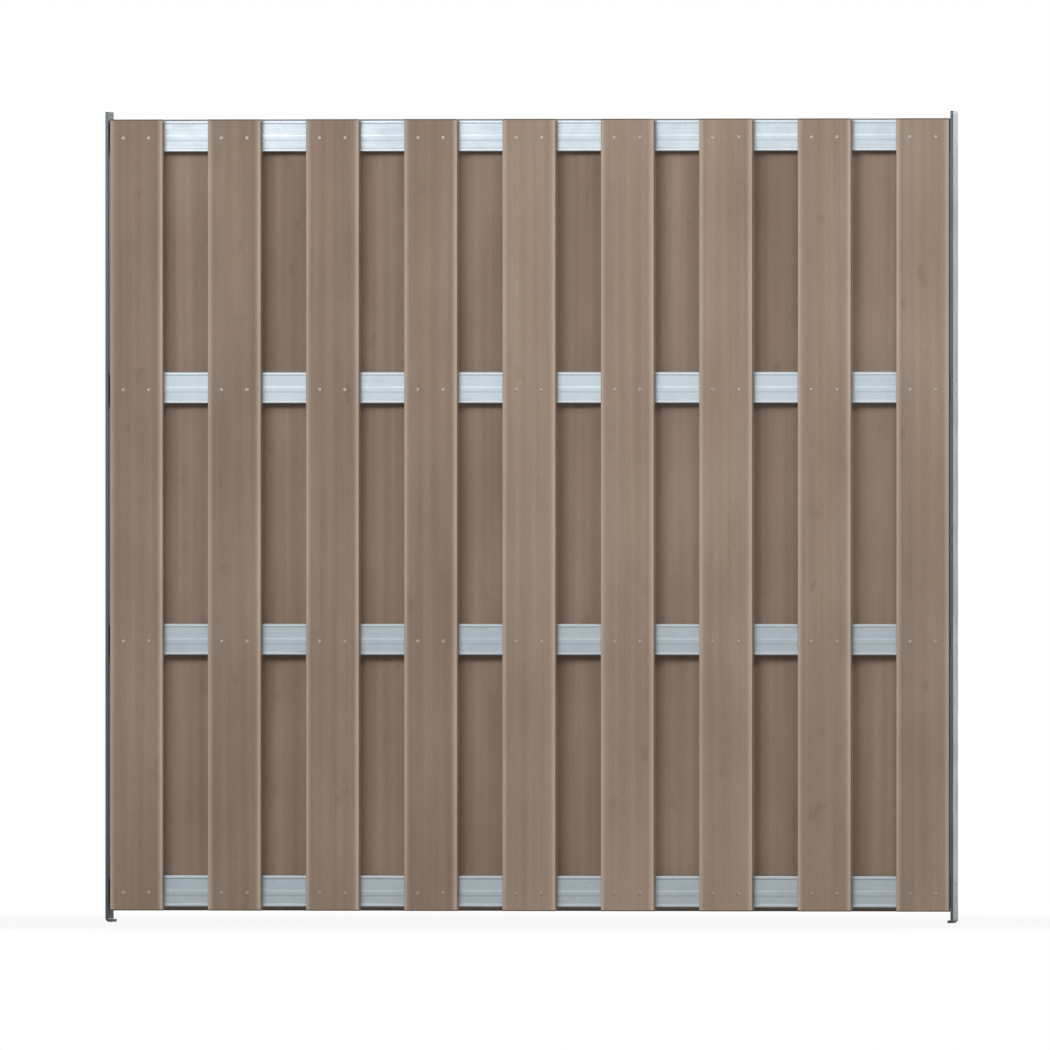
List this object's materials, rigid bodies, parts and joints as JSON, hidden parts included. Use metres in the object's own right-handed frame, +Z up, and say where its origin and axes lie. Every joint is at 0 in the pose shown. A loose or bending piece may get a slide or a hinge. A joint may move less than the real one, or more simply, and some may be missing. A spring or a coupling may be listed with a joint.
{
  "type": "garden privacy screen",
  "caption": "Fence panel of upright composite boards in two staggered layers on horizontal aluminium rails, closed at each end by a slim flat side bar with a small foot",
  "frame": {"origin": "centre of the bottom of the box, on the ground under the feet, midway between the two side bars and midway through the depth", "axes": "+X along the screen to the right as seen from the front, +Y from the front to the back, +Z up"},
  "size_m": [1.8, 0.068, 1.7],
  "materials": {
    "board": "brown wood-plastic composite, brushed and matt",
    "rail": "mill-finish extrusion, satin",
    "side_bar": "flat bar, weathered to a dull grey",
    "screw": "plain stainless"
  },
  "bodies": {
    "root": {"front_board_1": "board", "front_board_2": "board", "front_board_3": "board", "front_board_4": "board", "front_board_5": "board", "front_board_6": "board", "front_board_7": "board", "front_board_8": "board", "front_board_9": "board", "back_board_1": "board", "back_board_2": "board", "back_board_3": "board", "back_board_4": "board", "back_board_5": "board", "back_board_6": "board", "back_board_7": "board", "back_board_8": "board", "bottom_rail": "rail", "lower_rail": "rail", "upper_rail": "rail", "top_rail": "rail", "left_side_bar": "side_bar", "right_side_bar": "side_bar", "left_bottom_rail_lower_screw": "screw", "left_bottom_rail_upper_screw": "screw", "left_lower_rail_lower_screw": "screw", "left_lower_rail_upper_screw": "screw", "left_upper_rail_lower_screw": "screw", "left_upper_rail_upper_screw": "screw", "left_top_rail_lower_screw": "screw", "left_top_rail_upper_screw": "screw", "right_bottom_rail_lower_screw": "screw", "right_bottom_rail_upper_screw": "screw", "right_lower_rail_lower_screw": "screw", "right_lower_rail_upper_screw": "screw", "right_upper_rail_lower_screw": "screw", "right_upper_rail_upper_screw": "screw", "right_top_rail_lower_screw": "screw", "right_top_rail_upper_screw": "screw"}
  },
  "joints": []
}
